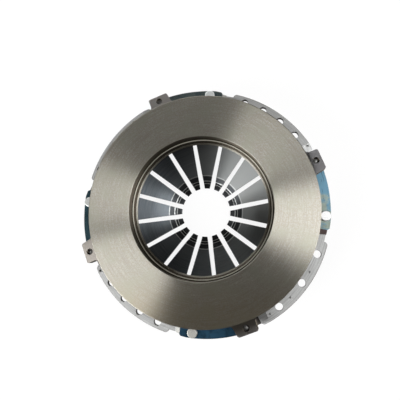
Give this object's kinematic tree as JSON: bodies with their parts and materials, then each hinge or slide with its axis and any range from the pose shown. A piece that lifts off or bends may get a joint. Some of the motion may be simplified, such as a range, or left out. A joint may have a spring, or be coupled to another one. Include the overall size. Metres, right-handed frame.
{
  "type": "clutch pressure plate",
  "caption": "Truck clutch pressure plate: turned iron plate with lugs on blue drive straps, slotted diaphragm spring and cast cover with a bolted flange.",
  "frame": {"origin": "centre of the bolt circle, on the plane of the cover flange that bolts to the flywheel", "axes": "+Z along the clutch axis towards the flywheel; +X to the right in the picture's view"},
  "size_m": [0.469, 0.469, 0.0947],
  "materials": {
    "cover_iron": "machined flange, as-cast body",
    "plate_iron": "fine turned face",
    "spring_steel": "oil-hardened, satin",
    "wire_steel": "drawn wire",
    "rivet_steel": "bare, formed",
    "strap_steel": "blue coated spring strip, satin",
    "strap_rivet_zinc": "zinc plated, satin"
  },
  "bodies": {
    "cover_body": {"cover": "cover_iron", "diaphragm_spring": "spring_steel", "pivot_ring_front": "wire_steel", "pivot_ring_rear": "wire_steel", "pivot_rivets": "rivet_steel", "drive_strap_1_leaf_1": "strap_steel", "drive_strap_1_leaf_2": "strap_steel", "drive_strap_1_leaf_3": "strap_steel", "drive_strap_1_leaf_4": "strap_steel", "drive_strap_2_leaf_1": "strap_steel", "drive_strap_2_leaf_2": "strap_steel", "drive_strap_2_leaf_3": "strap_steel", "drive_strap_2_leaf_4": "strap_steel", "drive_strap_3_leaf_1": "strap_steel", "drive_strap_3_leaf_2": "strap_steel", "drive_strap_3_leaf_3": "strap_steel", "drive_strap_3_leaf_4": "strap_steel", "drive_strap_4_leaf_1": "strap_steel", "drive_strap_4_leaf_2": "strap_steel", "drive_strap_4_leaf_3": "strap_steel", "drive_strap_4_leaf_4": "strap_steel", "strap_cover_rivet_1": "strap_rivet_zinc", "strap_cover_rivet_2": "strap_rivet_zinc", "strap_cover_rivet_3": "strap_rivet_zinc", "strap_cover_rivet_4": "strap_rivet_zinc"},
    "plate_body": {"pressure_plate": "plate_iron", "strap_lug_rivet_1": "strap_rivet_zinc", "strap_lug_rivet_2": "strap_rivet_zinc", "strap_lug_rivet_3": "strap_rivet_zinc", "strap_lug_rivet_4": "strap_rivet_zinc"}
  },
  "joints": [
    {"name": "plate_slide", "type": "slide", "parent": "cover_body", "child": "plate_body", "axis": [0, 0, 1], "range_m": [-0.006, 0], "stiffness_N_per_m": 500000, "springref_m": 0.002, "deforming": ["diaphragm_spring", "drive_strap_1_leaf_1", "drive_strap_1_leaf_2", "drive_strap_1_leaf_3", "drive_strap_1_leaf_4", "drive_strap_2_leaf_1", "drive_strap_2_leaf_2", "drive_strap_2_leaf_3", "drive_strap_2_leaf_4", "drive_strap_3_leaf_1", "drive_strap_3_leaf_2", "drive_strap_3_leaf_3", "drive_strap_3_leaf_4", "drive_strap_4_leaf_1", "drive_strap_4_leaf_2", "drive_strap_4_leaf_3", "drive_strap_4_leaf_4"]}
  ]
}
